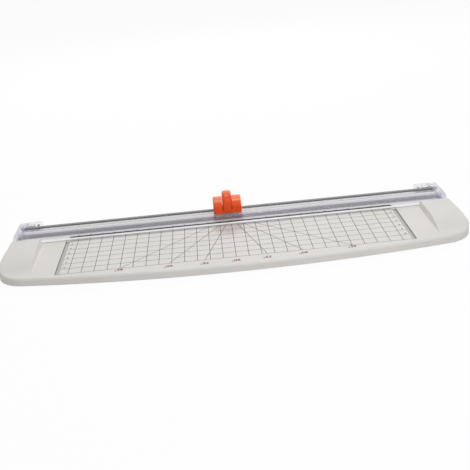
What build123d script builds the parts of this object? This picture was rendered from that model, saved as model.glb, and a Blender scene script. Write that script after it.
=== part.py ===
"""Sliding-blade paper trimmer: a moulded tray, a clear rail that lifts on a rear
hinge, and a sprung slider that carries the blade along the rail.

X runs along the cut, Y to the rear, Z up from the table top. Millimetres.
"""
import os

from build123d import *

os.makedirs("parts", exist_ok=True)

# Tray, seen from above
TRAY_HALF_BACK = 184.5
TRAY_FLARE = 3.5
TRAY_BACK_Y = 65.5
TRAY_DEPTH = 131.0
TRAY_CORNER_SAG = 17.7
FRONT_CORNER_R = 26.0
REAR_CORNER_R = 3.0

# Tray, heights and walls
FOOT_PROUD = 1.0
TRAY_H = 6.0
TRAY_WALL = 2.4
TRAY_SKIN = 2.2
RIB_T = 1.6
RIB_END_X = 60.5
RIB_END_Y = 12.75
CROSS_RIB_IN = 57.5
RIBS_EACH_SIDE = 2
RIM_R = 1.5

# Raised ends of the tray
PLATEAU_RISE = 5.0
PLATEAU_W = 24.5
PLATEAU_DRAFT = 1.2
PLATEAU_RAIL_GAP = 0.9
PLATEAU_FALL = 38.0
PLATEAU_TOE_IN = 19.5
TOE_BLEND_R = 40.0

# Paper guide grooves
GUIDE_SIDE = 20.0
GUIDE_W = 3.0
GUIDE_D = 0.9
GUIDE_FRONT_IN = 14.5

# Cut line and the strip under the blade
CUT_TO_HINGE = 19.0
STRIP_BEYOND_SLOT = 4.0
STRIP_W = 8.0
STRIP_T = 1.5
STRIP_GROOVE_W = 1.4
STRIP_GROOVE_D = 1.2
STRIP_BED_SIDE = 3.0

# Feet
FOOT_R = 6.0
FOOT_SEAT = 1.0
FOOT_CLEAR = 0.1
FOOT_BOSS_WALL = 2.0
FOOT_SIDE_IN = 34.5
FOOT_FRONT_IN = 31.5
FOOT_MID_FRONT_IN = 13.5
FOOT_REAR_IN = 11.5

# Rail section, measured from the cut line and the tray's deck
PAPER_GAP = 0.3
FLANGE_FRONT = 19.5
FLANGE_REAR = 14.5
FLANGE_T = 2.0
RAIL_FLOOR_T = 1.5
RAIL_FOOT_HALF = 11.1
RAIL_SHOULDER_HALF = 7.7
RAIL_BULGE_HALF = 10.2
RAIL_BULGE_Z = 5.0
RAIL_TOP = 6.5
LIP_T = 1.4
LIP_HALF = 4.6
CHANNEL_HALF_LOW = 9.4
CHANNEL_HALF_HIGH = 8.4
FLANGE_EDGE_R = 0.8
BLADE_SLOT_HALF = 1.3
BLADE_SLOT_END = 10.3

# Rear hinge
HINGE_BACK_IN = 6.5
HINGE_UP = 3.4
PIN_R = 1.5
PIN_SEAT_CLEAR = 0.02
PIN_RUN_CLEAR = 0.05
PIN_SEAT_L = 4.9
KNUCKLE_R = 3.1
BLOCK_R = 3.4
BLOCK_L = 11.4
BLOCK_END_GAP = 0.6
BLOCK_SCREW_IN = 3.4
SCREW_R = 1.2
SCREW_HEAD_R = 2.5
SCREW_HEAD_T = 1.4
SCREW_SINK = 0.3
SCREW_CLEAR = 0.15
SCREW_BITE = 4.0
SCREW_PAD_HALF = 5.5

# Rail end caps
CAP_GRIP = 4.3
CAP_PLATE_T = 2.2
CAP_PLATEAU_GAP = 0.7
CAP_TOP = 7.9
CAP_NOSE_R = 6.0
CAP_FALL = 5.0
CAP_EDGE_R = 0.7
PIN_END_SKIN = 0.5

# Slider
SLIDER_X = -2.0
SLIDE_GAP = 0.3
SLIDER_HALF_X = 12.0
WING_HALF_Y = 7.7
WING_TOP = 19.7
WING_EDGE_R = 1.2
BRIDGE_T = 2.4
NECK_IN_X = 6.0
NECK_OUT_X = 11.0
SHOE_GAP = 0.3
SHOE_HALF_Y = 7.9
SHOE_OPEN_CLEAR = 0.4
SHOE_SCREW_X = 8.5
SHOE_SCREW_R = 0.8
SHOE_SCREW_HEAD_R = 1.8
SHOE_SCREW_HEAD_T = 1.0
SHOE_SCREW_BITE = 5.0

# Press fin, blade and springs
PRESS_TRAVEL = 1.8
FIN_HALF_X = 3.95
FIN_SIDE_GAP = 0.3
FIN_HALF_Y = 8.7
FIN_TOP = 24.5
FIN_EDGE_R = 2.4
FIN_STOP_GAP = 0.4
FIN_SKIRT_T = 0.7
FIN_SKIRT_DROP = 2.4
STEM_HALF_X = 3.4
STEM_HALF_Y = 1.5
STEM_CLEAR = 0.3
STEM_SEAT = 3.0
HOLDER_HALF_X = 5.6
HOLDER_HALF_Y = 2.0
HOLDER_H = 2.5
BLADE_T = 0.5
BLADE_FIT = 0.02
BLADE_HALF_X = 5.0
BLADE_TIP = 1.1
BLADE_SHOULDER = 2.9
BLADE_SET = 1.6
RIVET_R = 0.6
RIVET_FIT = 0.02
SPRING_Y = 5.0
SPRING_R = 1.2
SPRING_WIRE_R = 0.22
SPRING_WIRE_SIDES = 6
SPRING_TURNS = 4
SPRING_H = 6.8
SPRING_POCKET_CLEAR = 0.4

# Levels and places that follow from the sizes above
DECK_Z = FOOT_PROUD + TRAY_H
PLATEAU_Z = DECK_Z + PLATEAU_RISE
SKIN_Z = DECK_Z - TRAY_SKIN
CAVITY_H = TRAY_H - TRAY_SKIN
RAIL_BOTTOM = DECK_Z + PAPER_GAP
FLOOR_TOP = RAIL_BOTTOM + RAIL_FLOOR_T
LIP_UNDER = DECK_Z + RAIL_TOP - LIP_T
HINGE_Z = DECK_Z + HINGE_UP
TRAY_HALF_FRONT = TRAY_HALF_BACK + TRAY_FLARE
TRAY_FRONT_Y = TRAY_BACK_Y - TRAY_DEPTH
HINGE_Y = TRAY_BACK_Y - HINGE_BACK_IN
CUT_Y = HINGE_Y - CUT_TO_HINGE
PLATEAU_IN_X = TRAY_HALF_BACK - PLATEAU_W
PLATEAU_BACK_Y = CUT_Y - FLANGE_FRONT - PLATEAU_RAIL_GAP
PLATEAU_TOE_Y = TRAY_FRONT_Y + PLATEAU_TOE_IN
PLATEAU_FLAT_Y = PLATEAU_TOE_Y + PLATEAU_FALL
GUIDE_OUT_X = PLATEAU_IN_X - GUIDE_SIDE
GUIDE_FRONT_Y = TRAY_FRONT_Y + GUIDE_FRONT_IN
RIB_STEP = (TRAY_HALF_BACK - RIB_END_X) / RIBS_EACH_SIDE
RIB_MID_Y = (TRAY_BACK_Y + TRAY_FRONT_Y) / 2
RIB_RUN = TRAY_DEPTH - 2 * RIB_END_Y
CROSS_RIB_Y = TRAY_FRONT_Y + CROSS_RIB_IN
RAIL_HALF_X = TRAY_HALF_BACK - CAP_PLATE_T
BLADE_SLOT_HALF_X = RAIL_HALF_X - BLADE_SLOT_END
STRIP_HALF_X = BLADE_SLOT_HALF_X + STRIP_BEYOND_SLOT
CAP_IN_X = RAIL_HALF_X - CAP_GRIP
CAP_OUT_X = RAIL_HALF_X + CAP_PLATE_T
CAP_FRONT_Y = PLATEAU_BACK_Y + CAP_PLATEAU_GAP
CAP_FALL_Y = HINGE_Y - CAP_FALL
BLOCK_OUT_X = CAP_IN_X - BLOCK_END_GAP
BLOCK_IN_X = BLOCK_OUT_X - BLOCK_L
BLOCK_SCREW_X = BLOCK_IN_X + BLOCK_SCREW_IN
PIN_IN_X = BLOCK_OUT_X - PIN_SEAT_L
PIN_OUT_X = CAP_OUT_X - PIN_END_SKIN
FOOT_X = TRAY_HALF_BACK - FOOT_SIDE_IN
FOOT_FRONT_Y = TRAY_FRONT_Y + FOOT_FRONT_IN
FOOT_MID_FRONT_Y = TRAY_FRONT_Y + FOOT_MID_FRONT_IN
FOOT_REAR_Y = TRAY_BACK_Y - FOOT_REAR_IN
SADDLE_Z = DECK_Z + RAIL_TOP + SLIDE_GAP
BRIDGE_Z = SADDLE_Z + BRIDGE_T
SHOE_LOW = FLOOR_TOP + SHOE_GAP
SHOE_HIGH = LIP_UNDER - SHOE_GAP
NECK_HALF_Y = LIP_HALF - SLIDE_GAP
FIN_SLOT_HALF = FIN_HALF_X + FIN_SIDE_GAP
FIN_UNDER = BRIDGE_Z + PRESS_TRAVEL + FIN_STOP_GAP
HOLDER_TOP = SADDLE_Z - SLIDE_GAP
HOLDER_LOW = HOLDER_TOP - HOLDER_H
BLADE_TOP = HOLDER_LOW + BLADE_SET
BLADE_LOW = DECK_Z + BLADE_TIP
RIVET_Z = HOLDER_LOW + BLADE_SET / 2
SIDES = ((-1, "left"), (1, "right"))
FEET = (
    ("front_left_foot", -FOOT_X, FOOT_FRONT_Y),
    ("front_middle_foot", 0, FOOT_MID_FRONT_Y),
    ("front_right_foot", FOOT_X, FOOT_FRONT_Y),
    ("rear_left_foot", -FOOT_X, FOOT_REAR_Y),
    ("rear_middle_foot", 0, FOOT_REAR_Y),
    ("rear_right_foot", FOOT_X, FOOT_REAR_Y),
)
SCREW_SPOTS = [(side * BLOCK_SCREW_X, HINGE_Y) for side, _ in SIDES]
SHOE_SCREW_SPOTS = [(SLIDER_X + side * SHOE_SCREW_X, CUT_Y) for side, _ in SIDES]


def save(builder, name):
    """Label a finished piece and write it under its own name."""
    builder.part.label = name
    export_step(builder.part, f"parts/{name}.step")


# Tray outline: straight back, flared sides, bowed front
with BuildSketch() as tray_outline:
    with BuildLine():
        back = Line((-TRAY_HALF_BACK, TRAY_BACK_Y), (TRAY_HALF_BACK, TRAY_BACK_Y))
        right = Line(back @ 1, (TRAY_HALF_FRONT, TRAY_FRONT_Y + TRAY_CORNER_SAG))
        front = ThreePointArc(
            right @ 1, (0, TRAY_FRONT_Y), (-TRAY_HALF_FRONT, TRAY_FRONT_Y + TRAY_CORNER_SAG)
        )
        Line(front @ 1, back @ 0)
    make_face()
    fillet(tray_outline.vertices().group_by(Axis.Y)[-1], REAR_CORNER_R)
    fillet(tray_outline.vertices().group_by(Axis.Y)[0], FRONT_CORNER_R)

# Tray: a shallow shell with raised ends, ribs, bosses and a bed for the strip
with BuildPart() as base_tray:
    with BuildSketch(Plane.XY.offset(FOOT_PROUD)):
        add(tray_outline.sketch)
    extrude(amount=TRAY_H)
    with BuildSketch(Plane.XY.offset(DECK_Z)):
        add(tray_outline.sketch)
        with Locations((0, PLATEAU_BACK_Y)):
            Rectangle(
                2 * (TRAY_HALF_BACK + TRAY_FLARE), TRAY_BACK_Y - PLATEAU_BACK_Y,
                align=(Align.CENTER, Align.MIN), mode=Mode.SUBTRACT,
            )
        with Locations((0, TRAY_FRONT_Y)):
            Rectangle(
                2 * PLATEAU_IN_X, TRAY_DEPTH, align=(Align.CENTER, Align.MIN), mode=Mode.SUBTRACT,
            )
    extrude(amount=PLATEAU_RISE)
    # The raised ends fall to the deck in one long curve towards the front
    toe_run = PLATEAU_FLAT_Y - PLATEAU_TOE_Y
    toe_sum_r = (toe_run**2 + PLATEAU_RISE**2) / (2 * PLATEAU_RISE)
    crest_r = toe_sum_r - TOE_BLEND_R
    crest_run = crest_r * toe_run / toe_sum_r
    crest_drop = crest_r - (crest_r**2 - crest_run**2) ** 0.5
    with BuildSketch(Plane.YZ):
        with BuildLine():
            crest = TangentArc(
                (PLATEAU_FLAT_Y, PLATEAU_Z),
                (PLATEAU_FLAT_Y - crest_run, PLATEAU_Z - crest_drop),
                tangent=(-1, 0),
            )
            toe = TangentArc(crest @ 1, (PLATEAU_TOE_Y, DECK_Z), tangent=crest % 1)
            Polyline(toe @ 1, (TRAY_FRONT_Y, DECK_Z), (TRAY_FRONT_Y, PLATEAU_Z), crest @ 0)
        make_face()
    extrude(amount=TRAY_HALF_FRONT, both=True, mode=Mode.SUBTRACT)
    # The inner faces of the raised ends lean outwards
    with BuildSketch(Plane.XZ):
        for side, _ in SIDES:
            with BuildLine():
                Polyline(
                    (side * PLATEAU_IN_X, DECK_Z),
                    (side * (PLATEAU_IN_X + PLATEAU_DRAFT), PLATEAU_Z),
                    (side * PLATEAU_IN_X, PLATEAU_Z),
                    close=True,
                )
            make_face()
    extrude(amount=TRAY_DEPTH, both=True, mode=Mode.SUBTRACT)
    # Softened outer rim, from one raised end round the front to the other
    rim_wire = tray_outline.sketch.faces()[0].outer_wire()
    rim = []
    for edge in base_tray.edges().filter_by(Axis.Z, reverse=True):
        middle = edge.position_at(0.5)
        on_wall = rim_wire.distance_to(Vertex(middle.X, middle.Y, 0)) < RIM_R / 100
        on_top = middle.Z > DECK_Z - RIM_R / 100
        if on_wall and on_top and middle.Y < PLATEAU_BACK_Y:
            rim.append(edge)
    fillet(rim, RIM_R)
    # Hollow underside
    with BuildSketch(Plane.XY.offset(FOOT_PROUD)):
        add(tray_outline.sketch)
        offset(amount=-TRAY_WALL, mode=Mode.REPLACE)
    extrude(amount=CAVITY_H, mode=Mode.SUBTRACT)
    # Cores under the raised ends
    core_in_x = PLATEAU_IN_X + PLATEAU_DRAFT + TRAY_WALL
    core_out_x = TRAY_HALF_BACK - TRAY_WALL - RIM_R
    with BuildSketch(Plane.XY.offset(SKIN_Z)):
        for side, _ in SIDES:
            with Locations((side * core_in_x, PLATEAU_BACK_Y - TRAY_WALL)):
                Rectangle(
                    core_out_x - core_in_x, PLATEAU_BACK_Y - TRAY_WALL - PLATEAU_FLAT_Y,
                    align=(Align.MIN if side > 0 else Align.MAX, Align.MAX),
                )
    extrude(amount=PLATEAU_RISE, mode=Mode.SUBTRACT)
    # Ribs
    with BuildSketch(Plane.XY.offset(SKIN_Z)):
        for step in range(1, RIBS_EACH_SIDE + 1):
            with Locations((-step * RIB_STEP, RIB_MID_Y), (step * RIB_STEP, RIB_MID_Y)):
                Rectangle(RIB_T, RIB_RUN)
        with Locations((0, CROSS_RIB_Y)):
            Rectangle(2 * (TRAY_HALF_BACK - TRAY_WALL), RIB_T)
    extrude(amount=FOOT_SEAT - CAVITY_H)
    # Bed under the cutting strip
    with BuildSketch(Plane.XY.offset(SKIN_Z)):
        with Locations((0, CUT_Y)):
            Rectangle(2 * (STRIP_HALF_X + STRIP_BED_SIDE), STRIP_W + 2 * STRIP_BED_SIDE)
    extrude(amount=-STRIP_T)
    # Foot bosses and screw pads
    with BuildSketch(Plane.XY.offset(FOOT_PROUD)):
        with Locations(*[(x, y) for _, x, y in FEET]):
            Circle(FOOT_R + FOOT_CLEAR + FOOT_BOSS_WALL)
        with Locations(*SCREW_SPOTS):
            Rectangle(2 * SCREW_PAD_HALF, 2 * SCREW_PAD_HALF)
    extrude(amount=CAVITY_H)
    with BuildSketch(Plane.XY.offset(FOOT_PROUD)):
        with Locations(*[(x, y) for _, x, y in FEET]):
            Circle(FOOT_R + FOOT_CLEAR)
    extrude(amount=FOOT_SEAT, mode=Mode.SUBTRACT)
    with BuildSketch(Plane.XY.offset(FOOT_PROUD)):
        with Locations(*SCREW_SPOTS):
            Circle(SCREW_HEAD_R + SCREW_CLEAR)
    extrude(amount=SCREW_SINK + SCREW_HEAD_T, mode=Mode.SUBTRACT)
    with BuildSketch(Plane.XY.offset(FOOT_PROUD)):
        with Locations(*SCREW_SPOTS):
            Circle(SCREW_R + SCREW_CLEAR)
    extrude(amount=TRAY_H, mode=Mode.SUBTRACT)
    # Seat of the cutting strip and the two guide grooves
    with BuildSketch(Plane.XY.offset(DECK_Z)):
        with Locations((0, CUT_Y)):
            Rectangle(2 * STRIP_HALF_X, STRIP_W)
    extrude(amount=-STRIP_T, mode=Mode.SUBTRACT)
    with BuildSketch(Plane.XY.offset(DECK_Z)):
        for side, _ in SIDES:
            with Locations((side * (GUIDE_OUT_X - GUIDE_W / 2), GUIDE_FRONT_Y)):
                Rectangle(
                    GUIDE_W, PLATEAU_BACK_Y - GUIDE_FRONT_Y, align=(Align.CENTER, Align.MIN)
                )
    extrude(amount=-GUIDE_D, mode=Mode.SUBTRACT)
save(base_tray, "base_tray")

# Strip that the blade runs in
with BuildPart() as cutting_strip:
    with BuildSketch(Plane.XY.offset(DECK_Z - STRIP_T)):
        with Locations((0, CUT_Y)):
            Rectangle(2 * STRIP_HALF_X, STRIP_W)
    extrude(amount=STRIP_T)
    with BuildSketch(Plane.XY.offset(DECK_Z)):
        with Locations((0, CUT_Y)):
            Rectangle(2 * STRIP_HALF_X, STRIP_GROOVE_W)
    extrude(amount=-STRIP_GROOVE_D, mode=Mode.SUBTRACT)
save(cutting_strip, "cutting_strip")

# Feet pressed into their bosses
for foot_name, foot_x, foot_y in FEET:
    with BuildPart() as foot:
        with BuildSketch():
            with Locations((foot_x, foot_y)):
                Circle(FOOT_R)
        extrude(amount=FOOT_PROUD + FOOT_SEAT)
        chamfer(foot.edges().group_by(Axis.Z)[0], FOOT_PROUD / 3)
    save(foot, foot_name)

# Hinge blocks, screwed down from below, with their pins
for side, hand in SIDES:
    with BuildPart() as hinge_block:
        with BuildSketch(Plane.YZ.offset(side * BLOCK_IN_X)):
            with BuildLine():
                hood = ThreePointArc(
                    (HINGE_Y + BLOCK_R, HINGE_Z),
                    (HINGE_Y, HINGE_Z + BLOCK_R),
                    (HINGE_Y - BLOCK_R, HINGE_Z),
                )
                Polyline(
                    hood @ 1, (HINGE_Y - BLOCK_R, DECK_Z), (HINGE_Y + BLOCK_R, DECK_Z), hood @ 0,
                )
            make_face()
        extrude(amount=side * (BLOCK_OUT_X - BLOCK_IN_X))
        with BuildSketch(Plane.YZ.offset(side * PIN_IN_X)):
            with Locations((HINGE_Y, HINGE_Z)):
                Circle(PIN_R + PIN_SEAT_CLEAR)
        extrude(amount=side * (BLOCK_OUT_X - PIN_IN_X), mode=Mode.SUBTRACT)
        with BuildSketch(Plane.XY.offset(DECK_Z)):
            with Locations((side * BLOCK_SCREW_X, HINGE_Y)):
                Circle(SCREW_R)
        extrude(amount=SCREW_BITE, mode=Mode.SUBTRACT)
    save(hinge_block, f"{hand}_hinge_block")

    with BuildPart() as hinge_pin:
        with BuildSketch(Plane.YZ.offset(side * PIN_IN_X)):
            with Locations((HINGE_Y, HINGE_Z)):
                Circle(PIN_R)
        extrude(amount=side * (PIN_OUT_X - PIN_IN_X))
    save(hinge_pin, f"{hand}_hinge_pin")

with BuildPart() as hinge_block_screws:
    with BuildSketch(Plane.XY.offset(FOOT_PROUD + SCREW_SINK)):
        with Locations(*SCREW_SPOTS):
            Circle(SCREW_HEAD_R)
    extrude(amount=SCREW_HEAD_T)
    with BuildSketch(Plane.XY.offset(FOOT_PROUD + SCREW_SINK + SCREW_HEAD_T)):
        with Locations(*SCREW_SPOTS):
            Circle(SCREW_R)
    extrude(amount=TRAY_H - SCREW_SINK - SCREW_HEAD_T + SCREW_BITE)
save(hinge_block_screws, "hinge_block_screws")

# Rail section in Y and Z: pressing flanges, bulged walls, lips over the channel
with BuildSketch() as rail_section:
    with BuildLine():
        rear_wall = ThreePointArc(
            (CUT_Y + RAIL_FOOT_HALF, RAIL_BOTTOM + FLANGE_T),
            (CUT_Y + RAIL_BULGE_HALF, DECK_Z + RAIL_BULGE_Z),
            (CUT_Y + RAIL_SHOULDER_HALF, DECK_Z + RAIL_TOP),
        )
        front_wall = ThreePointArc(
            (CUT_Y - RAIL_SHOULDER_HALF, DECK_Z + RAIL_TOP),
            (CUT_Y - RAIL_BULGE_HALF, DECK_Z + RAIL_BULGE_Z),
            (CUT_Y - RAIL_FOOT_HALF, RAIL_BOTTOM + FLANGE_T),
        )
        Polyline(
            rear_wall @ 1,
            (CUT_Y + LIP_HALF, DECK_Z + RAIL_TOP),
            (CUT_Y + LIP_HALF, LIP_UNDER),
            (CUT_Y + CHANNEL_HALF_HIGH, LIP_UNDER),
            (CUT_Y + CHANNEL_HALF_LOW, FLOOR_TOP),
            (CUT_Y - CHANNEL_HALF_LOW, FLOOR_TOP),
            (CUT_Y - CHANNEL_HALF_HIGH, LIP_UNDER),
            (CUT_Y - LIP_HALF, LIP_UNDER),
            (CUT_Y - LIP_HALF, DECK_Z + RAIL_TOP),
            front_wall @ 0,
        )
        Polyline(
            front_wall @ 1,
            (CUT_Y - FLANGE_FRONT, RAIL_BOTTOM + FLANGE_T),
            (CUT_Y - FLANGE_FRONT, RAIL_BOTTOM),
            (CUT_Y + FLANGE_REAR, RAIL_BOTTOM),
            (CUT_Y + FLANGE_REAR, RAIL_BOTTOM + FLANGE_T),
            rear_wall @ 0,
        )
    make_face()
    flange_edges = rail_section.vertices().group_by(Axis.X)
    fillet([*flange_edges[0], *flange_edges[-1]], FLANGE_EDGE_R)

with BuildPart() as rail:
    with BuildSketch(Plane.YZ):
        add(rail_section.sketch)
    extrude(amount=RAIL_HALF_X, both=True)
    with BuildSketch(Plane.XY.offset(RAIL_BOTTOM)):
        with Locations((0, CUT_Y)):
            Rectangle(2 * BLADE_SLOT_HALF_X, 2 * BLADE_SLOT_HALF)
    extrude(amount=RAIL_FLOOR_T, mode=Mode.SUBTRACT)
save(rail, "rail")

# End caps that close the rail's channel and swing on the hinge pins
for side, hand in SIDES:
    with BuildPart() as rail_cap:
        with BuildSketch(Plane.YZ.offset(side * CAP_IN_X)) as cap_side:
            with BuildLine():
                knuckle = ThreePointArc(
                    (HINGE_Y, HINGE_Z + KNUCKLE_R),
                    (HINGE_Y + KNUCKLE_R, HINGE_Z),
                    (HINGE_Y, HINGE_Z - KNUCKLE_R),
                )
                Polyline(
                    knuckle @ 1,
                    (CAP_FRONT_Y, HINGE_Z - KNUCKLE_R),
                    (CAP_FRONT_Y, DECK_Z + CAP_TOP),
                    (CAP_FALL_Y, DECK_Z + CAP_TOP),
                    knuckle @ 0,
                )
            make_face()
            nose = cap_side.vertices().group_by(Axis.X)[0].sort_by(Axis.Y)[-1]
            fillet(nose, CAP_NOSE_R)
        extrude(amount=side * (CAP_OUT_X - CAP_IN_X))
        outer_face = rail_cap.faces().sort_by(Axis.X)[-1 if side > 0 else 0]
        fillet(outer_face.edges(), CAP_EDGE_R)
        # The rail's own section, open towards the front along the flange
        with BuildSketch(Plane.YZ.offset(side * CAP_IN_X)):
            add(rail_section.sketch)
            with Locations((CUT_Y - RAIL_FOOT_HALF, RAIL_BOTTOM)):
                Rectangle(FLANGE_FRONT, FLANGE_T, align=(Align.MAX, Align.MIN))
        extrude(amount=side * (RAIL_HALF_X - CAP_IN_X), mode=Mode.SUBTRACT)
        with BuildSketch(Plane.YZ.offset(side * CAP_IN_X)):
            with Locations((HINGE_Y, HINGE_Z)):
                Circle(PIN_R + PIN_RUN_CLEAR)
        extrude(amount=side * (PIN_OUT_X - CAP_IN_X + PIN_RUN_CLEAR), mode=Mode.SUBTRACT)
    save(rail_cap, f"{hand}_rail_cap")

# Slider body: two arched wings on a bridge, with necks down through the lips
with BuildPart() as slider_body:
    with BuildSketch(Plane.YZ.offset(SLIDER_X)):
        with BuildLine():
            crown = ThreePointArc(
                (CUT_Y - WING_HALF_Y, DECK_Z + WING_TOP - WING_HALF_Y),
                (CUT_Y, DECK_Z + WING_TOP),
                (CUT_Y + WING_HALF_Y, DECK_Z + WING_TOP - WING_HALF_Y),
            )
            Polyline(
                crown @ 1, (CUT_Y + WING_HALF_Y, SADDLE_Z), (CUT_Y - WING_HALF_Y, SADDLE_Z), crown @ 0,
            )
        make_face()
    extrude(amount=SLIDER_HALF_X, both=True)
    end_faces = slider_body.faces().sort_by(Axis.X)
    crowned = [*end_faces[0].edges(), *end_faces[-1].edges()]
    fillet([edge for edge in crowned if edge.center().Z > SADDLE_Z + WING_EDGE_R], WING_EDGE_R)
    # Slot for the press fin
    with BuildSketch(Plane.XY.offset(BRIDGE_Z)):
        with Locations((SLIDER_X, CUT_Y)):
            Rectangle(2 * FIN_SLOT_HALF, 4 * WING_HALF_Y)
    extrude(amount=WING_TOP, mode=Mode.SUBTRACT)
    # Opening for the stem
    with BuildSketch(Plane.XY.offset(SADDLE_Z)):
        with Locations((SLIDER_X, CUT_Y)):
            Rectangle(2 * (STEM_HALF_X + STEM_CLEAR), 2 * (STEM_HALF_Y + STEM_CLEAR))
    extrude(amount=BRIDGE_T, mode=Mode.SUBTRACT)
    # Necks that pass between the rail's lips
    with BuildSketch(Plane.XY.offset(SADDLE_Z)):
        for side, _ in SIDES:
            with Locations((SLIDER_X + side * (NECK_IN_X + NECK_OUT_X) / 2, CUT_Y)):
                Rectangle(NECK_OUT_X - NECK_IN_X, 2 * NECK_HALF_Y)
    extrude(amount=SHOE_HIGH - SADDLE_Z)
    with BuildSketch(Plane.XY.offset(SHOE_HIGH)):
        with Locations(*SHOE_SCREW_SPOTS):
            Circle(SHOE_SCREW_R)
    extrude(amount=SHOE_SCREW_BITE, mode=Mode.SUBTRACT)
save(slider_body, "slider_body")

# Shoe that runs inside the rail's channel
with BuildPart() as slider_shoe:
    with BuildSketch(Plane.XY.offset(SHOE_LOW)):
        with Locations((SLIDER_X, CUT_Y)):
            Rectangle(2 * SLIDER_HALF_X, 2 * SHOE_HALF_Y)
            Rectangle(
                2 * (HOLDER_HALF_X + SHOE_OPEN_CLEAR), 2 * (HOLDER_HALF_Y + SHOE_OPEN_CLEAR),
                mode=Mode.SUBTRACT,
            )
    extrude(amount=SHOE_HIGH - SHOE_LOW)
    with BuildSketch(Plane.XY.offset(SHOE_LOW)):
        with Locations(*SHOE_SCREW_SPOTS):
            Circle(SHOE_SCREW_HEAD_R)
    extrude(amount=SHOE_SCREW_HEAD_T, mode=Mode.SUBTRACT)
    with BuildSketch(Plane.XY.offset(SHOE_LOW)):
        with Locations(*SHOE_SCREW_SPOTS):
            Circle(SHOE_SCREW_R)
    extrude(amount=SHOE_HIGH - SHOE_LOW, mode=Mode.SUBTRACT)
save(slider_shoe, "slider_shoe")

with BuildPart() as shoe_screws:
    with BuildSketch(Plane.XY.offset(SHOE_LOW)):
        with Locations(*SHOE_SCREW_SPOTS):
            Circle(SHOE_SCREW_HEAD_R)
    extrude(amount=SHOE_SCREW_HEAD_T)
    with BuildSketch(Plane.XY.offset(SHOE_LOW + SHOE_SCREW_HEAD_T)):
        with Locations(*SHOE_SCREW_SPOTS):
            Circle(SHOE_SCREW_R)
    extrude(amount=SHOE_HIGH - SHOE_LOW - SHOE_SCREW_HEAD_T + SHOE_SCREW_BITE)
save(shoe_screws, "shoe_screws")

# Press fin: the finger ridge between the wings, pushed down to lower the blade
with BuildPart() as press_fin:
    with BuildSketch(Plane.YZ.offset(SLIDER_X)):
        with BuildLine():
            ridge = ThreePointArc(
                (CUT_Y - FIN_HALF_Y, DECK_Z + FIN_TOP - FIN_HALF_Y),
                (CUT_Y, DECK_Z + FIN_TOP),
                (CUT_Y + FIN_HALF_Y, DECK_Z + FIN_TOP - FIN_HALF_Y),
            )
            Polyline(
                ridge @ 1,
                (CUT_Y + FIN_HALF_Y, FIN_UNDER - FIN_SKIRT_DROP),
                (CUT_Y + FIN_HALF_Y - FIN_SKIRT_T, FIN_UNDER - FIN_SKIRT_DROP),
                (CUT_Y + FIN_HALF_Y - FIN_SKIRT_T, FIN_UNDER),
                (CUT_Y - FIN_HALF_Y + FIN_SKIRT_T, FIN_UNDER),
                (CUT_Y - FIN_HALF_Y + FIN_SKIRT_T, FIN_UNDER - FIN_SKIRT_DROP),
                (CUT_Y - FIN_HALF_Y, FIN_UNDER - FIN_SKIRT_DROP),
                ridge @ 0,
            )
        make_face()
    extrude(amount=FIN_HALF_X, both=True)
    ridge_edges = press_fin.edges().filter_by(GeomType.CIRCLE)
    fillet(ridge_edges, FIN_EDGE_R)
    with BuildSketch(Plane.XY.offset(FIN_UNDER)):
        with Locations((SLIDER_X, CUT_Y)):
            Rectangle(2 * STEM_HALF_X, 2 * STEM_HALF_Y)
    extrude(amount=STEM_SEAT, mode=Mode.SUBTRACT)
    with BuildSketch(Plane.XY.offset(FIN_UNDER)):
        with Locations((SLIDER_X, CUT_Y - SPRING_Y), (SLIDER_X, CUT_Y + SPRING_Y)):
            Circle(SPRING_R + SPRING_WIRE_R + SPRING_POCKET_CLEAR)
    extrude(amount=BRIDGE_Z + SPRING_H - FIN_UNDER, mode=Mode.SUBTRACT)
save(press_fin, "press_fin")

# Blade holder, hung from the fin by its stem
with BuildPart() as blade_holder:
    with BuildSketch(Plane.XY.offset(HOLDER_LOW)):
        with Locations((SLIDER_X, CUT_Y)):
            Rectangle(2 * HOLDER_HALF_X, 2 * HOLDER_HALF_Y)
    extrude(amount=HOLDER_H)
    with BuildSketch(Plane.XY.offset(HOLDER_TOP)):
        with Locations((SLIDER_X, CUT_Y)):
            Rectangle(2 * STEM_HALF_X, 2 * STEM_HALF_Y)
    extrude(amount=FIN_UNDER + STEM_SEAT - HOLDER_TOP)
    with BuildSketch(Plane.XY.offset(HOLDER_LOW)):
        with Locations((SLIDER_X, CUT_Y)):
            Rectangle(2 * HOLDER_HALF_X, BLADE_T + 2 * BLADE_FIT)
    extrude(amount=BLADE_SET, mode=Mode.SUBTRACT)
    with BuildSketch(Plane.XZ.offset(-CUT_Y)):
        with Locations((SLIDER_X, RIVET_Z)):
            Circle(RIVET_R + RIVET_FIT)
    extrude(amount=HOLDER_HALF_Y, both=True, mode=Mode.SUBTRACT)
save(blade_holder, "blade_holder")

# Blade with two ground edges that meet at the tip
with BuildPart() as blade:
    with BuildSketch(Plane.XZ.offset(-CUT_Y)):
        with BuildLine():
            Polyline(
                (SLIDER_X - BLADE_HALF_X, BLADE_TOP),
                (SLIDER_X + BLADE_HALF_X, BLADE_TOP),
                (SLIDER_X + BLADE_HALF_X, BLADE_LOW + BLADE_SHOULDER),
                (SLIDER_X, BLADE_LOW),
                (SLIDER_X - BLADE_HALF_X, BLADE_LOW + BLADE_SHOULDER),
                close=True,
            )
        make_face()
        with Locations((SLIDER_X, RIVET_Z)):
            Circle(RIVET_R + RIVET_FIT, mode=Mode.SUBTRACT)
    extrude(amount=BLADE_T / 2, both=True)
save(blade, "blade")

with BuildPart() as blade_rivet:
    with BuildSketch(Plane.XZ.offset(-CUT_Y)):
        with Locations((SLIDER_X, RIVET_Z)):
            Circle(RIVET_R)
    extrude(amount=HOLDER_HALF_Y, both=True)
save(blade_rivet, "blade_rivet")

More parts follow.
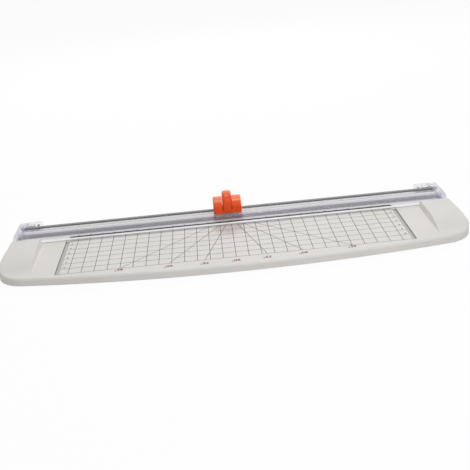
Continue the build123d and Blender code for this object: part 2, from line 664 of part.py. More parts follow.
# Return springs: half-turn arcs, each tilted by half the pitch
coil_low = BRIDGE_Z + SPRING_WIRE_R
pitch = (SPRING_H - 2 * SPRING_WIRE_R) / SPRING_TURNS
print("least gap between turns", round(pitch - 2 * SPRING_WIRE_R, 2), "mm")
for spring_side, place in ((-1, "front"), (1, "rear")):
    coil_y = CUT_Y + spring_side * SPRING_Y
    with BuildPart() as return_spring:
        with BuildLine() as coil:
            for turn in range(SPRING_TURNS):
                low = coil_low + turn * pitch
                ThreePointArc(
                    (SLIDER_X + SPRING_R, coil_y, low),
                    (SLIDER_X, coil_y + SPRING_R, low + pitch / 4),
                    (SLIDER_X - SPRING_R, coil_y, low + pitch / 2),
                )
                ThreePointArc(
                    (SLIDER_X - SPRING_R, coil_y, low + pitch / 2),
                    (SLIDER_X, coil_y - SPRING_R, low + 3 * pitch / 4),
                    (SLIDER_X + SPRING_R, coil_y, low + pitch),
                )
        with BuildSketch(Plane(origin=coil.line @ 0, z_dir=coil.line % 0)):
            RegularPolygon(SPRING_WIRE_R, SPRING_WIRE_SIDES)
        sweep(path=coil.line)
    save(return_spring, f"{place}_return_spring")
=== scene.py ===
"""Finishes, printing and studio for a sliding-blade paper trimmer."""
import math

import bpy
from mathutils import Matrix, Vector


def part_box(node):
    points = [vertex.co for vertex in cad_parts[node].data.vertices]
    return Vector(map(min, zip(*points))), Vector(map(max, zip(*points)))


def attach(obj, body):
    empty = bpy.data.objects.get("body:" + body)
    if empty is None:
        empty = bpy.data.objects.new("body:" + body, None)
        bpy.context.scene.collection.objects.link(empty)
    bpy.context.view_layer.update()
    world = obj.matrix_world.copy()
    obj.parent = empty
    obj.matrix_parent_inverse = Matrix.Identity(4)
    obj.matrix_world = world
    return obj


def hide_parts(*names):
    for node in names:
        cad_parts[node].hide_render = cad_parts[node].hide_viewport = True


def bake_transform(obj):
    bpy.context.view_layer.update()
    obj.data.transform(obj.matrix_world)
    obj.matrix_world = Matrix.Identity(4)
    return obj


bl_info = {
    "name": "Paper Trimmer",
    "version": (1, 0, 0),
    "blender": (4, 5, 0),
    "location": "View3D > Sidebar > Trimmer",
    "description": "Finishes, printed grid and studio for a sliding-blade paper trimmer",
    "category": "Object",
}

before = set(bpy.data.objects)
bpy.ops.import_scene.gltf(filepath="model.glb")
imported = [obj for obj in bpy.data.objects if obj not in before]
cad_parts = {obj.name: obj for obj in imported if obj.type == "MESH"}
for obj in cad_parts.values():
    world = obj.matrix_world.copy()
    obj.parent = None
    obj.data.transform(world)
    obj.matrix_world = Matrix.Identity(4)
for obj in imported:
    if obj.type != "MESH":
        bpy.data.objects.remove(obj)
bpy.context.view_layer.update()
STRIP_LOW, STRIP_HIGH = (Vector(corner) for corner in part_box("cutting_strip"))
RAIL_FOOT_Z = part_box("rail")[0][2]

MM = 0.001
DECK_Z = STRIP_HIGH.z
CUT_Y = (STRIP_LOW.y + STRIP_HIGH.y) / 2
STRIP_FRONT_Y = STRIP_LOW.y
WELD = 0.001 * MM
WHITE = (1.0, 1.0, 1.0, 1.0)

# Printing: shares of a number's height, and what is numbered
FONT_PER_HEIGHT = 1.4
BOLD = 0.03
LABEL_ARC_R = 1000 * MM
DEGREE_SHIFT = 0.6 * MM
ROW_NUMBER_SHARE = 0.8
SCALE_NUMBER_SHARE = 0.65
SCALE_NUMBER_RISE = 0.8
FIRST_NUMBERED_ROW = 2
FAN_ANGLES = (-45, -30, -15, 15, 30, 45)
LABEL_ANGLES = (-45, -30, -15, 0, 15, 30, 45)

# Guide grooves in the tray, one each side of the grid
GROOVE_IN_X = 137 * MM
GROOVE_OUT_X = 140 * MM
GROOVE_FRONT_Y = -51 * MM
GROOVE_REAR_Y = STRIP_FRONT_Y - 14 * MM
GROOVE_SIDE_BLUR = 0.2 * MM
GROOVE_END_BLUR = 1 * MM
GROOVE_SHADE_Z = (DECK_Z - 0.5 * MM, DECK_Z - 0.1 * MM)

# The rail's section, each as the start and end of a soft edge: heights above the deck
FLANGE_T = 2.0 * MM
ABOVE_FLANGE = (2.1 * MM, 2.6 * MM)
LIP_UNDERSIDE = (4.9 * MM, 5.1 * MM)
NOSE_TOP = (0.9 * MM, 1.2 * MM)
CHANNEL_FLOOR_TOP = (1.9 * MM, 2.0 * MM)
WALL_RISE = (2.2 * MM, 6.4 * MM)

# The same section, as distances from the cut line
FRONT_WALL = (7.2 * MM, 8.2 * MM)
REAR_LIP = (4.2 * MM, 4.5 * MM)
FLANGE_START = (10.2 * MM, 11.0 * MM)
NOSE_START = (19.0 * MM, 19.3 * MM)
CHANNEL_SIDE = (9.5 * MM, 9.6 * MM)

# Heights above the deck from which a highlight is painted on the slider's wings and fin, and its fade below
# them
WING_HIGHLIGHT_Z = 18.6 * MM
FIN_HIGHLIGHT_Z = 25.0 * MM
HIGHLIGHT_FADE = 3.5 * MM

# The viewpoint, in the trimmer's own frame
CAMERA_PLACE = Vector((-12.37, -654.23, 258.74)) * MM
CAMERA_AZIMUTH = math.radians(-1.22)
CAMERA_ELEVATION = math.radians(21.156)
CAMERA_ROLL = math.radians(-5.306)
CAMERA_LENS = 65.08
CAMERA_SENSOR = 36.0
CAMERA_NEAR = 10 * MM

# Soft lamps, in metres, each with its share of the lamp power
LAMPS = (
    {"name": "key_lamp", "place": (0.4, -0.95, 0.5), "aim": (0.08, 0, 0), "size": (0.9, 0.6),
     "share": 1.3, "mirrored": True},
    {"name": "rear_lamp", "place": (0.02, 1.1, 0.68), "aim": (0, 0, 0), "size": (0.22, 0.22),
     "share": 3.0, "mirrored": False},
    {"name": "top_lamp", "place": (0.06, -0.14, 0.6), "aim": (0, 0.04, 0), "size": (0.12, 0.08),
     "share": 0.43, "mirrored": True},
)
FLOOR_DROP = 0.05 * MM
FLOOR_WHITE_SHARE = 0.95


def linear(red, green, blue):
    """A screen colour, 0 to 255 a channel, as linear light."""
    def channel(value):
        share = value / 255
        return share / 12.92 if share <= 0.04045 else ((share + 0.055) / 1.055) ** 2.4
    return (channel(red), channel(green), channel(blue), 1.0)


def length_property(name, description, default):
    return bpy.props.FloatProperty(name=name, description=description, default=default, unit="LENGTH")


def colour_property(name, description, *screen):
    return bpy.props.FloatVectorProperty(
        name=name, description=description, subtype="COLOR", size=4, default=linear(*screen))


class PrintSizes(bpy.types.PropertyGroup):
    """Sizes and inks of the printing on the tray and rail."""

    cell: length_property("Cell", "Side of one printed square", 10 * MM)
    half_columns: bpy.props.IntProperty(
        name="Columns each side", description="Printed columns from the middle to one groove", default=13)
    rows: bpy.props.IntProperty(
        name="Rows", description="Printed rows in front of the cut line", default=9)
    half_width: length_property("Row half length", "Half the length of a row line", GROOVE_IN_X)
    line: length_property("Line", "Width of a printed line", 0.4 * MM)
    edge_line: length_property("Edge line", "Width of the line beside each groove", 0.45 * MM)
    edge_x: length_property(
        "Edge line place", "Distance of the groove's outer edge from the middle", GROOVE_OUT_X)
    ink_height: length_property("Ink height", "How far the ink stands on the deck", 0.03 * MM)
    label_height: length_property("Angle label", "Height of the angle numbers", 3.6 * MM)
    label_y: length_property("Angle label line", "Place of the angle numbers at the middle", -56.6 * MM)
    number_height: length_property("Ruler number", "Height of the small numbers", 2.6 * MM)
    scale_y: length_property("Scale line", "Place of the ruler line on the rail's flange", 23.3 * MM)
    scale_line: length_property("Scale line width", "Width of the ruler line", 2.9 * MM)
    grey_ink: colour_property("Grey ink", "Colour of the grid", 62, 62, 65)
    black_ink: colour_property("Black ink", "Colour of the ruler", 8, 8, 10)
    red_ink: colour_property("Red ink", "Colour of the angle numbers", 88, 12, 16)


class FinishColours(bpy.types.PropertyGroup):
    """Colours of the moulded pieces and the metal."""

    tray: colour_property("Tray", "Off-white moulded plastic", 222, 219, 215)
    strip: colour_property("Strip", "Dark cutting strip", 120, 120, 122)
    rubber: colour_property("Feet", "Dark rubber", 58, 58, 60)
    clear: colour_property("Rail", "Tint of the clear rail", 226, 226, 234)
    orange: colour_property("Slider", "Glossy orange plastic", 238, 78, 0)
    # Painted highlight: paler orange on top of the wings and fin, where light falls
    crown: colour_property("Slider crown", "Paler orange on top of the wings and fin", 255, 162, 118)
    # Painted shade: the shoe's dark red stands for the slider's orange in the shade of the channel
    shoe: colour_property("Shoe", "Dark red plastic in the channel", 104, 14, 18)
    holder: colour_property("Blade holder", "Dark grey plastic", 70, 70, 74)
    blade: colour_property("Blade", "Polished steel", 200, 202, 204)
    drawn: colour_property("Springs and screws", "Drawn steel", 188, 188, 190)
    pin: colour_property("Hinge pins", "Bright steel", 232, 232, 235)


class StudioSettings(bpy.types.PropertyGroup):
    """Light levels of the studio."""

    sky: bpy.props.FloatProperty(
        name="Sky", description="Strength of the even light from all round", default=0.33, min=0)
    key: bpy.props.FloatProperty(
        name="Lamps", description="Power that the lamps take their shares of", default=2.6, min=0,
        unit="POWER")
    floor_half: length_property("Floor", "Half the side of the floor", 4.0)


class Value:
    """A shader socket that takes part in Python arithmetic."""

    def __init__(self, shade, socket):
        self.shade = shade
        self.socket = socket

    def _math(self, operation, first, second):
        return self.shade.node("ShaderNodeMath", {"operation": operation}, {0: first, 1: second})

    def __add__(self, other):
        return self._math("ADD", self, other)

    __radd__ = __add__

    def __sub__(self, other):
        return self._math("SUBTRACT", self, other)

    def __rsub__(self, other):
        return self._math("SUBTRACT", other, self)

    def __mul__(self, other):
        return self._math("MULTIPLY", self, other)

    __rmul__ = __mul__

    def __abs__(self):
        return self.shade.node("ShaderNodeMath", {"operation": "ABSOLUTE"}, {0: self})

    def larger(self, other):
        """The larger of two values."""
        return self._math("MAXIMUM", self, other)

    def step(self, low, high):
        """0 below low, 1 above high, smooth between."""
        return self.shade.node(
            "ShaderNodeMapRange", {"interpolation_type": "SMOOTHSTEP", "clamp": True},
            {0: self, 1: low, 2: high})


class Shade:
    """The node tree of a material or of the sky."""

    def __init__(self, owner, main="Principled BSDF"):
        self.owner = owner
        owner.use_nodes = True
        self.tree = owner.node_tree
        self.main = self.tree.nodes[main]

    def node(self, kind, settings=None, sockets=None, output=0):
        """Adds a node with its settings, then its values or links, and gives one of its outputs."""
        made = self.tree.nodes.new(kind)
        for key, value in (settings or {}).items():
            setattr(made, key, value)
        for key, value in (sockets or {}).items():
            self.feed(made.inputs[key], value)
        return Value(self, made.outputs[output])

    def feed(self, target, value):
        """Links a socket's value to a target, or sets a plain one on it."""
        if isinstance(value, Value):
            self.tree.links.new(value.socket, target)
        else:
            target.default_value = value

    def set(self, **sockets):
        """Feeds the main shader's sockets, named with underscores for spaces."""
        for key, value in sockets.items():
            self.feed(self.main.inputs[key.replace("_", " ").title().replace("Ior", "IOR")], value)
        return self.owner

    def swap(self, share, other):
        """Puts another shader in place of a share of the main one."""
        main = Value(self, self.main.outputs[0])
        both = self.node("ShaderNodeMixShader", None, {0: share, 1: main, 2: other})
        output = next(node for node in self.tree.nodes if node.bl_idname.startswith("ShaderNodeOutput"))
        self.feed(output.inputs["Surface"], both)
        return self.owner

    def rays(self, first, *others):
        """1 for light rays of the named kinds and 0 for the rest."""
        path = self.node("ShaderNodeLightPath").socket.node
        found = Value(self, path.outputs[first])
        for kind in others:
            found = found.larger(Value(self, path.outputs[kind]))
        return found

    def let_through(self, share, tint):
        """Lets a share of the lamps' light through the piece, tinted by it."""
        clear = self.node("ShaderNodeBsdfTransparent", None, {"Color": tint})
        return self.swap(share * self.rays("Is Shadow Ray"), clear)

    def white_to_camera(self, share, kind):
        """Lets camera, mirror and see-through rays meet plain white in place of part of the shader."""
        seen = self.rays("Is Camera Ray", "Is Glossy Ray", "Is Transmission Ray")
        return self.swap(share * seen, self.node(kind, None, {"Color": WHITE, "Strength": 1.0}))

    def place(self):
        """Object coordinates, in metres."""
        return self.node("ShaderNodeTexCoord", output="Object")

    def axes(self):
        """The three object coordinates, each by itself."""
        split = self.node("ShaderNodeSeparateXYZ", None, {0: self.place()}).socket.node
        return [Value(self, output) for output in split.outputs]

    def noise(self, size, detail=3.0):
        """Soft noise whose lumps are about the given size in metres."""
        return self.node(
            "ShaderNodeTexNoise", None, {"Vector": self.place(), "Scale": 1 / size, "Detail": detail})

    def streaks(self, along, across):
        """Noise drawn out along X, with so many lumps to the metre along and across."""
        drawn = self.node("ShaderNodeMapping", None, {0: self.place(), 3: (along, across, across)})
        return self.node("ShaderNodeTexNoise", None, {"Vector": drawn, "Scale": 1.0, "Detail": 2.0})

    def mix(self, share, first, second):
        """A colour between two others."""
        return self.node("ShaderNodeMix", {"data_type": "RGBA"}, {0: share, 6: first, 7: second}, output=2)

    def bump(self, height, distance, strength=1.0):
        """A normal from a height."""
        return self.node(
            "ShaderNodeBump", None, {"Height": height, "Distance": distance, "Strength": strength},
            output="Normal")


def finish(name):
    """A new material's node tree."""
    return Shade(bpy.data.materials.new(name))


def shaded(colour, factor):
    """A colour made lighter or darker."""
    return tuple(min(1.0, channel * factor) for channel in colour[:3]) + (1.0,)


def groove_dust(shade, base, colour):
    """Painted shade, grey on the floors of the tray's guide grooves."""
    painted_shade = 0.66
    along, forth, height = shade.axes()
    beside = abs(along)
    groove = beside.step(GROOVE_IN_X - GROOVE_SIDE_BLUR, GROOVE_IN_X)
    groove = groove * (1 - beside.step(GROOVE_OUT_X, GROOVE_OUT_X + GROOVE_SIDE_BLUR))
    groove = groove * (1 - height.step(*GROOVE_SHADE_Z))
    groove = groove * forth.step(GROOVE_FRONT_Y - GROOVE_END_BLUR, GROOVE_FRONT_Y)
    groove = groove * (1 - forth.step(GROOVE_REAR_Y - GROOVE_END_BLUR, GROOVE_REAR_Y))
    return shade.mix(groove, base, shaded(colour, painted_shade))


def moulded_plastic(name, colour, roughness, grain=0.35 * MM, depth=0.012 * MM, painted_shade=None):
    """Satin moulded plastic with a fine texture, faint handling marks and perhaps painted shade."""
    cloud_size = 45 * MM
    darker, lighter = 0.975, 1.012
    spread = 0.1
    shade = finish(name)
    cloud = shade.noise(cloud_size)
    fine = shade.noise(grain, 2.0)
    base = shade.mix(cloud.step(0.3, 0.7), shaded(colour, darker), shaded(colour, lighter))
    # Painted shade, such as in the guide grooves
    if painted_shade:
        base = painted_shade(shade, base, colour)
    return shade.set(
        base_color=base,
        roughness=roughness - spread / 2 + spread * fine,
        normal=shade.bump(fine, depth),
    )


def glossy_plastic(name, colour, crown, highlight_z):
    """Glossy dyed plastic with sink marks and scuffs, and a highlight painted in paler towards its top, where
    light falls on it.
    """
    sink_size, sink_depth = 9 * MM, 0.05 * MM
    scuff_size = 0.5 * MM
    darker, lighter = 0.94, 1.05
    highlight_share = 0.65
    light_share, light_tint = 0.3, linear(255, 176, 176)
    shade = finish(name)
    rise = shade.axes()[2] - (DECK_Z + highlight_z)
    slow = shade.noise(sink_size)
    scuff = shade.noise(scuff_size)
    base = shade.mix(slow.step(0.3, 0.7), shaded(colour, darker), shaded(colour, lighter))
    # Painted highlight: paler towards the top of the piece
    base = shade.mix(highlight_share * rise.step(-HIGHLIGHT_FADE, 0.0), base, crown)
    shade.set(coat_weight=0.1, coat_roughness=0.2, specular_ior_level=0.3)
    shade.set(
        base_color=base,
        roughness=0.32 + 0.12 * scuff,
        normal=shade.bump(slow, sink_depth, 0.5),
    )
    return shade.let_through(light_share, light_tint)


def stopped_light(shade):
    """How much of a clear piece stops light: most of it passes through."""
    passed = 0.94
    return 1 - passed * shade.rays("Is Shadow Ray", "Is Diffuse Ray")


def clear_rail(name, tint):
    """Clear extruded plastic with painted shade on its front wall, darker towards the foot, on its rear lip,
    channel floor and flange's front edge, and a painted white reflection on its thin flanges.
    """
    # Painted shade for the walls, channel, rear lip and nose, and a painted reflection for the flange
    wall_foot_shade, wall_head_shade = linear(150, 147, 154), linear(204, 202, 211)
    channel_shade, rear_lip_shade = linear(150, 148, 154), linear(112, 111, 119)
    flange_reflection, nose_shade = linear(255, 254, 255), linear(150, 149, 152)
    cover = {"bare": 0.12, "front": 0.08, "channel": 0.5, "rear_lip": 0.74, "front_lip": 0.62, "flange": 0.82}
    streak_share = 0.2
    shade = finish(name)
    _, forth, level = shade.axes()
    behind = forth - CUT_Y
    before = CUT_Y - forth
    height = level - DECK_Z
    streak = shade.streaks(2.0, 900.0)
    above_flange = height.step(*ABOVE_FLANGE)
    front = before.step(*FRONT_WALL) * above_flange
    lips = height.step(*LIP_UNDERSIDE)
    rear_lip = behind.step(*REAR_LIP) * lips
    front_lip = lips * (1 - front) * (1 - rear_lip)
    flange = (1 - above_flange) * before.step(*FLANGE_START)
    nose = flange * before.step(*NOSE_START) * (1 - height.step(*NOSE_TOP))
    floor = (1 - height.step(*CHANNEL_FLOOR_TOP)) * (1 - before.step(*CHANNEL_SIDE))
    channel = floor * (1 - behind.step(*CHANNEL_SIDE))
    # Painted shade and reflection, set by place on the section
    wall_shade = shade.mix(height.step(*WALL_RISE), wall_foot_shade, wall_head_shade)
    body = shade.mix(front, tint, wall_shade)
    body = shade.mix(channel, body, channel_shade)
    body = shade.mix(rear_lip, body, rear_lip_shade)
    body = shade.mix(flange, body, flange_reflection)
    body = shade.mix(nose, body, nose_shade)
    body = shade.mix(streak.step(0.45, 0.7) * streak_share, body, tint)
    covered = cover["bare"] + cover["front"] * front + cover["channel"] * channel
    covered = covered + cover["rear_lip"] * rear_lip + cover["front_lip"] * front_lip
    covered = covered + cover["flange"] * flange
    shade.set(ior=1.49, specular_ior_level=0.5)
    return shade.set(
        base_color=body, alpha=covered * stopped_light(shade), roughness=0.08 + 0.06 * streak)


def clear_moulding(name, tint, haze):
    """Clear moulded plastic, cloudier where it is thick and seen edge on."""
    flow_size = 5 * MM
    lilac = linear(176, 174, 205)
    least = 0.1
    shade = finish(name)
    flow = shade.noise(flow_size)
    edge = shade.node("ShaderNodeLayerWeight", None, {0: 0.35}, output="Facing")
    base = shade.mix(flow.step(0.35, 0.65), lilac, tint)
    shade.set(ior=1.49)
    return shade.set(
        base_color=base, alpha=(least + haze * edge) * stopped_light(shade), roughness=0.06 + 0.08 * flow)


def bare_steel(name, colour, roughness):
    """Steel with a fine drawn grain."""
    darker, lighter = 0.85, 1.1
    spread = 0.15
    shade = finish(name)
    grain = shade.streaks(300.0, 6000.0)
    base = shade.mix(grain, shaded(colour, darker), shaded(colour, lighter))
    shade.set(metallic=1.0)
    return shade.set(base_color=base, roughness=roughness + spread * grain)


def printed_ink(name, colour):
    """Screen-printed ink, a little uneven."""
    patch_size = 1.5 * MM
    thin = 1.35
    shade = finish(name)
    patch = shade.noise(patch_size)
    base = shade.mix(patch.step(0.35, 0.7), colour, shaded(colour, thin))
    return shade.set(base_color=base, roughness=0.5 + 0.2 * patch)


def dress(material, *nodes):
    """Gives CAD nodes one finish."""
    for name in nodes:
        wear(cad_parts[name], material)


def wear(piece, material):
    """Puts one material on a piece."""
    piece.data.materials.clear()
    piece.data.materials.append(material)


def deselect():
    bpy.ops.object.select_all(action="DESELECT")


def pick(piece):
    """Makes a piece the only one selected."""
    deselect()
    piece.select_set(True)
    bpy.context.view_layer.objects.active = piece


def settle(piece, material, body):
    """Gives a printed piece its ink and sets it on its body."""
    wear(piece, material)
    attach(piece, body)


def printed_bar(name, start, end, width, ink_height, level=DECK_Z):
    """A printed line from start to end, as a raised sliver of ink on the deck or another level."""
    run = Vector(end) - Vector(start)
    middle = (Vector(start) + Vector(end)) / 2
    deselect()
    bpy.ops.mesh.primitive_plane_add(
        size=1, location=(middle.x, middle.y, level - ink_height),
        rotation=(0, 0, math.atan2(run.y, run.x)))
    bar = bpy.context.object
    bar.name = name
    bar.scale = (run.length, width, 1)
    bpy.ops.object.transform_apply(location=True, rotation=True, scale=True)
    bpy.ops.object.mode_set(mode="EDIT")
    bpy.ops.mesh.select_all(action="SELECT")
    bpy.ops.mesh.extrude_region_move(TRANSFORM_OT_translate={"value": (0, 0, 2 * ink_height)})
    bpy.ops.mesh.select_all(action="SELECT")
    bpy.ops.mesh.normals_make_consistent(inside=False)
    bpy.ops.object.mode_set(mode="OBJECT")
    return bar


def repeat(bar, count, step):
    """Repeats a printed line at a fixed step."""
    array = bar.modifiers.new("Repeat", "ARRAY")
    array.count = count
    array.use_relative_offset = False
    array.use_constant_offset = True
    array.constant_offset_displace = step
    pick(bar)
    bpy.ops.object.modifier_apply(modifier=array.name)
    return bar


def joined(name, pieces):
    """Joins pieces of one ink into a single object at the origin."""
    deselect()
    for piece in pieces:
        piece.select_set(True)
    bpy.context.view_layer.objects.active = pieces[0]
    bpy.ops.object.join()
    whole = bpy.context.object
    whole.name = name
    whole.data.name = name
    bpy.ops.object.transform_apply(location=True, rotation=True, scale=True)
    return whole


def printed_number(words, x, y, height, ink_height, level=DECK_Z, turn=0.0):
    """A printed number, lying flat and read from the front unless it is turned."""
    deselect()
    bpy.ops.object.text_add(location=(x, y, level), rotation=(0, 0, turn))
    text = bpy.context.object
    text.data.body = words
    text.data.align_x = "CENTER"
    text.data.align_y = "CENTER"
    text.data.size = height * FONT_PER_HEIGHT
    text.data.resolution_u = 3
    text.data.extrude = ink_height
    text.data.offset = height * BOLD
    bpy.ops.object.convert(target="MESH")
    number = bpy.context.object
    bpy.ops.object.transform_apply(location=True, rotation=True, scale=True)
    return number


def welded_copy(name, node):
    """A copy of a CAD node's mesh, with its corners joined."""
    copy = bpy.data.objects.new(name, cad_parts[node].data.copy())
    bpy.context.scene.collection.objects.link(copy)
    pick(copy)
    bpy.ops.object.mode_set(mode="EDIT")
    bpy.ops.mesh.select_all(action="SELECT")
    bpy.ops.mesh.remove_doubles(threshold=WELD)
    bpy.ops.object.mode_set(mode="OBJECT")
    return copy


class TRIMMER_OT_tray_finish(bpy.types.Operator):
    """Satin off-white plastic for the tray and grey for the cutting strip"""

    bl_idname = "trimmer.tray_finish"
    bl_label = "Tray finish"

    def execute(self, context):
        colours = context.scene.trimmer_colours
        # The grooves' grey floors are painted shade
        dress(moulded_plastic("tray_plastic", tuple(colours.tray), 0.5, painted_shade=groove_dust), "base_tray")
        dress(moulded_plastic("strip_plastic", tuple(colours.strip), 0.6), "cutting_strip")
        return {"FINISHED"}


class TRIMMER_OT_grid_print(bpy.types.Operator):
    """Printed squares on the tray, with a heavy line beside each groove"""

    bl_idname = "trimmer.grid_print"
    bl_label = "Printed grid"

    def execute(self, context):
        sizes = context.scene.trimmer_print
        front_y = CUT_Y - sizes.rows * sizes.cell
        first_x = -sizes.half_columns * sizes.cell
        column = printed_bar(
            "grid_columns", (first_x, front_y, 0), (first_x, STRIP_FRONT_Y, 0), sizes.line, sizes.ink_height)
        columns = repeat(column, 2 * sizes.half_columns + 1, (sizes.cell, 0, 0))
        row = printed_bar(
            "grid_rows", (-sizes.half_width, front_y, 0), (sizes.half_width, front_y, 0),
            sizes.line, sizes.ink_height)
        rows = repeat(row, sizes.rows, (0, sizes.cell, 0))
        edges = []
        for side in (-1, 1):
            x = side * (sizes.edge_x + sizes.edge_line / 2)
            edges.append(printed_bar(
                f"edge_line_{side}", (x, front_y, 0), (x, STRIP_FRONT_Y, 0),
                sizes.edge_line, sizes.ink_height))
        grid = joined("grid_print", [columns, rows, *edges])
        settle(grid, printed_ink("grey_ink", tuple(sizes.grey_ink)), "base")
        return {"FINISHED"}


class TRIMMER_OT_fan_print(bpy.types.Operator):
    """Printed angle lines that fan out from the middle of the cut line"""

    bl_idname = "trimmer.fan_print"
    bl_label = "Printed fan"

    def execute(self, context):
        sizes = context.scene.trimmer_print
        far = sizes.rows * sizes.cell
        near = CUT_Y - STRIP_FRONT_Y
        lines = []
        for degrees in FAN_ANGLES:
            lean = math.tan(math.radians(degrees))
            lines.append(printed_bar(
                f"fan_{degrees}", (near * lean, CUT_Y - near, 0), (far * lean, CUT_Y - far, 0),
                sizes.line, sizes.ink_height))
        fan = joined("fan_print", lines)
        settle(fan, printed_ink("fan_ink", tuple(sizes.grey_ink)), "base")
        return {"FINISHED"}


class TRIMMER_OT_angle_numbers(bpy.types.Operator):
    """Red angle numbers on an arc in front of the grid, read from behind the rail"""

    bl_idname = "trimmer.angle_numbers"
    bl_label = "Angle numbers"

    def execute(self, context):
        sizes = context.scene.trimmer_print
        far = sizes.rows * sizes.cell
        numbers = []
        for degrees in LABEL_ANGLES:
            x = far * math.tan(math.radians(degrees))
            y = sizes.label_y + x * x / (2 * LABEL_ARC_R)
            numbers.append(printed_number(
                f"{90 - abs(degrees)}\u00b0", x - DEGREE_SHIFT, y, sizes.label_height, sizes.ink_height,
                turn=math.pi))
        labels = joined("angle_numbers", numbers)
        settle(labels, printed_ink("red_ink", tuple(sizes.red_ink)), "base")
        return {"FINISHED"}


class TRIMMER_OT_ruler_print(bpy.types.Operator):
    """Row numbers beside the grooves, and a ruler line with numbers on the rail's flange"""

    bl_idname = "trimmer.ruler_print"
    bl_label = "Printed rulers"

    def row_numbers(self, sizes, ink):
        numbers = []
        height = ROW_NUMBER_SHARE * sizes.number_height
        for row in range(FIRST_NUMBERED_ROW, sizes.rows):
            y = CUT_Y - row * sizes.cell + sizes.number_height
            for side in (-1, 1):
                x = side * (sizes.half_width - sizes.number_height)
                numbers.append(printed_number(str(row), x, y, height, sizes.ink_height))
        settle(joined("row_numbers", numbers), ink, "base")

    def rail_scale(self, sizes, ink):
        level = RAIL_FOOT_Z + FLANGE_T
        height = SCALE_NUMBER_SHARE * sizes.number_height
        number_y = sizes.scale_y + SCALE_NUMBER_RISE * sizes.number_height
        scale = [printed_bar(
            "scale_line", (-sizes.half_width, sizes.scale_y, 0), (sizes.half_width, sizes.scale_y, 0),
            sizes.scale_line, sizes.ink_height, level)]
        for column in range(-sizes.half_columns, sizes.half_columns + 1):
            scale.append(printed_number(
                str(abs(column)), column * sizes.cell, number_y, height, sizes.ink_height, level))
        settle(joined("rail_scale", scale), ink, "rail")

    def execute(self, context):
        sizes = context.scene.trimmer_print
        ink = printed_ink("black_ink", tuple(sizes.black_ink))
        self.row_numbers(sizes, ink)
        self.rail_scale(sizes, ink)
        return {"FINISHED"}


class TRIMMER_OT_rail_finish(bpy.types.Operator):
    """Clear plastic for the rail, its caps and the hinge blocks"""

    bl_idname = "trimmer.rail_finish"
    bl_label = "Rail finish"

    def execute(self, context):
        tint = tuple(context.scene.trimmer_colours.clear)
        dress(clear_rail("clear_rail", tint), "rail")
        dress(clear_moulding("clear_moulding", tint, 0.6), "left_rail_cap", "right_rail_cap")
        dress(clear_moulding("clear_block", tint, 0.25), "left_hinge_block", "right_hinge_block")
        return {"FINISHED"}


class TRIMMER_OT_slider_finish(bpy.types.Operator):
    """Glossy orange for the slider and steel for its blade and screws"""

    bl_idname = "trimmer.slider_finish"
    bl_label = "Slider finish"

    def execute(self, context):
        colours = context.scene.trimmer_colours
        orange, crown, shoe = (tuple(colour) for colour in (colours.orange, colours.crown, colours.shoe))
        dress(glossy_plastic("orange_plastic", orange, crown, WING_HIGHLIGHT_Z), "slider_body")
        dress(glossy_plastic("fin_plastic", orange, crown, FIN_HIGHLIGHT_Z), "press_fin")
        # The shoe's dark red is painted shade
        dress(glossy_plastic("shoe_painted_shade", shoe, shoe, WING_HIGHLIGHT_Z), "slider_shoe")
        dress(moulded_plastic("holder_plastic", tuple(colours.holder), 0.45), "blade_holder")
        dress(bare_steel("blade_steel", tuple(colours.blade), 0.2), "blade")
        dress(bare_steel("drawn_steel", tuple(colours.drawn), 0.3), "blade_rivet", "shoe_screws")
        return {"FINISHED"}


class TRIMMER_OT_return_springs(bpy.types.Operator):
    """Steel return springs, copied from the CAD springs with their corners joined"""

    bl_idname = "trimmer.return_springs"
    bl_label = "Return springs"

    def execute(self, context):
        steel = bpy.data.materials["drawn_steel"]
        for place in ("front", "rear"):
            node = f"{place}_return_spring"
            coil = welded_copy(f"{place}_coil", node)
            wear(coil, steel)
            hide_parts(node)
            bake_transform(coil)
        return {"FINISHED"}


class TRIMMER_OT_hardware_finish(bpy.types.Operator):
    """Rubber for the feet and steel for the hinge pins and screws"""

    bl_idname = "trimmer.hardware_finish"
    bl_label = "Hardware finish"

    def execute(self, context):
        colours = context.scene.trimmer_colours
        feet = [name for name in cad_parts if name.endswith("_foot")]
        dress(moulded_plastic("foot_rubber", tuple(colours.rubber), 0.8, 0.6 * MM, 0.03 * MM), *feet)
        dress(
            bare_steel("pin_steel", tuple(colours.pin), 0.35),
            "left_hinge_pin", "right_hinge_pin", "hinge_block_screws")
        return {"FINISHED"}


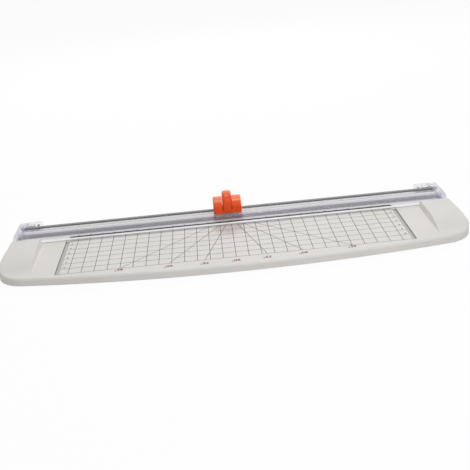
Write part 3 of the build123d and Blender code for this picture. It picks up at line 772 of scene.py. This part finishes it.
class TRIMMER_OT_stage(bpy.types.Operator):
    """Pale floor, soft lamps and the camera"""

    bl_idname = "trimmer.stage"
    bl_label = "Studio"

    def floor(self, settings):
        """A flat pale floor that shows white and keeps a faint shadow."""
        deselect()
        bpy.ops.mesh.primitive_plane_add(size=2 * settings.floor_half, location=(0, 0, -FLOOR_DROP))
        floor = bpy.context.object
        floor.name = "studio_floor"
        shade = finish("floor_white")
        shade.set(base_color=linear(235, 235, 235), roughness=0.9)
        floor.data.materials.append(shade.white_to_camera(FLOOR_WHITE_SHARE, "ShaderNodeEmission"))

    def sky(self, scene, settings):
        """Even white light from all round."""
        shade = Shade(bpy.data.worlds.new("studio_sky"), "Background")
        shade.set(color=WHITE, strength=settings.sky)
        scene.world = shade.white_to_camera(1.0, "ShaderNodeBackground")

    def lamp(self, scene, name, place, aim, size, power, mirrored):
        """A soft lamp, which glossy pieces may mirror."""
        data = bpy.data.lights.new(name, "AREA")
        data.shape = "RECTANGLE"
        data.size, data.size_y = size
        data.energy = power
        lamp = bpy.data.objects.new(name, data)
        lamp.location = place
        lamp.visible_glossy = mirrored
        lamp.rotation_euler = (Vector(aim) - Vector(place)).to_track_quat("-Z", "Y").to_euler()
        scene.collection.objects.link(lamp)

    def camera(self, scene):
        """The viewpoint, with its small roll."""
        back = Vector((
            math.sin(CAMERA_AZIMUTH) * math.cos(CAMERA_ELEVATION),
            -math.cos(CAMERA_AZIMUTH) * math.cos(CAMERA_ELEVATION),
            math.sin(CAMERA_ELEVATION)))
        right = (-back).cross(Vector((0, 0, 1))).normalized()
        up = right.cross(-back)
        turn_x = math.cos(CAMERA_ROLL) * right + math.sin(CAMERA_ROLL) * up
        turn_y = math.cos(CAMERA_ROLL) * up - math.sin(CAMERA_ROLL) * right
        data = bpy.data.cameras.new("photo_camera")
        data.lens = CAMERA_LENS
        data.sensor_width = CAMERA_SENSOR
        data.clip_start = CAMERA_NEAR
        camera = bpy.data.objects.new("photo_camera", data)
        turn = Matrix((turn_x, turn_y, back)).transposed().to_4x4()
        camera.matrix_world = Matrix.Translation(CAMERA_PLACE) @ turn
        scene.collection.objects.link(camera)
        scene.camera = camera

    def execute(self, context):
        scene = context.scene
        settings = scene.trimmer_studio
        self.floor(settings)
        self.sky(scene, settings)
        for lamp in LAMPS:
            self.lamp(
                scene, lamp["name"], lamp["place"], lamp["aim"], lamp["size"],
                settings.key * lamp["share"], lamp["mirrored"])
        self.camera(scene)
        scene.view_settings.view_transform = "Standard"
        return {"FINISHED"}


OPERATORS = (
    TRIMMER_OT_tray_finish,
    TRIMMER_OT_grid_print,
    TRIMMER_OT_fan_print,
    TRIMMER_OT_angle_numbers,
    TRIMMER_OT_ruler_print,
    TRIMMER_OT_rail_finish,
    TRIMMER_OT_slider_finish,
    TRIMMER_OT_return_springs,
    TRIMMER_OT_hardware_finish,
    TRIMMER_OT_stage,
)


class TRIMMER_PT_panel(bpy.types.Panel):
    """Lists the trimmer's steps"""

    bl_label = "Paper trimmer"
    bl_idname = "TRIMMER_PT_panel"
    bl_space_type = "VIEW_3D"
    bl_region_type = "UI"
    bl_category = "Trimmer"

    def draw(self, context):
        for operator in OPERATORS:
            self.layout.operator(operator.bl_idname)


CLASSES = (PrintSizes, FinishColours, StudioSettings, *OPERATORS, TRIMMER_PT_panel)


def register():
    for cls in CLASSES:
        bpy.utils.register_class(cls)
    bpy.types.Scene.trimmer_print = bpy.props.PointerProperty(type=PrintSizes)
    bpy.types.Scene.trimmer_colours = bpy.props.PointerProperty(type=FinishColours)
    bpy.types.Scene.trimmer_studio = bpy.props.PointerProperty(type=StudioSettings)


def unregister():
    del bpy.types.Scene.trimmer_studio
    del bpy.types.Scene.trimmer_colours
    del bpy.types.Scene.trimmer_print
    for cls in reversed(CLASSES):
        bpy.utils.unregister_class(cls)


def main():
    register()
    bpy.ops.trimmer.tray_finish()
    bpy.ops.trimmer.grid_print()
    bpy.ops.trimmer.fan_print()
    bpy.ops.trimmer.angle_numbers()
    bpy.ops.trimmer.ruler_print()
    bpy.ops.trimmer.rail_finish()
    bpy.ops.trimmer.slider_finish()
    bpy.ops.trimmer.return_springs()
    bpy.ops.trimmer.hardware_finish()
    bpy.ops.trimmer.stage()
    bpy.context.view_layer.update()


if __name__ == "__main__":
    main()
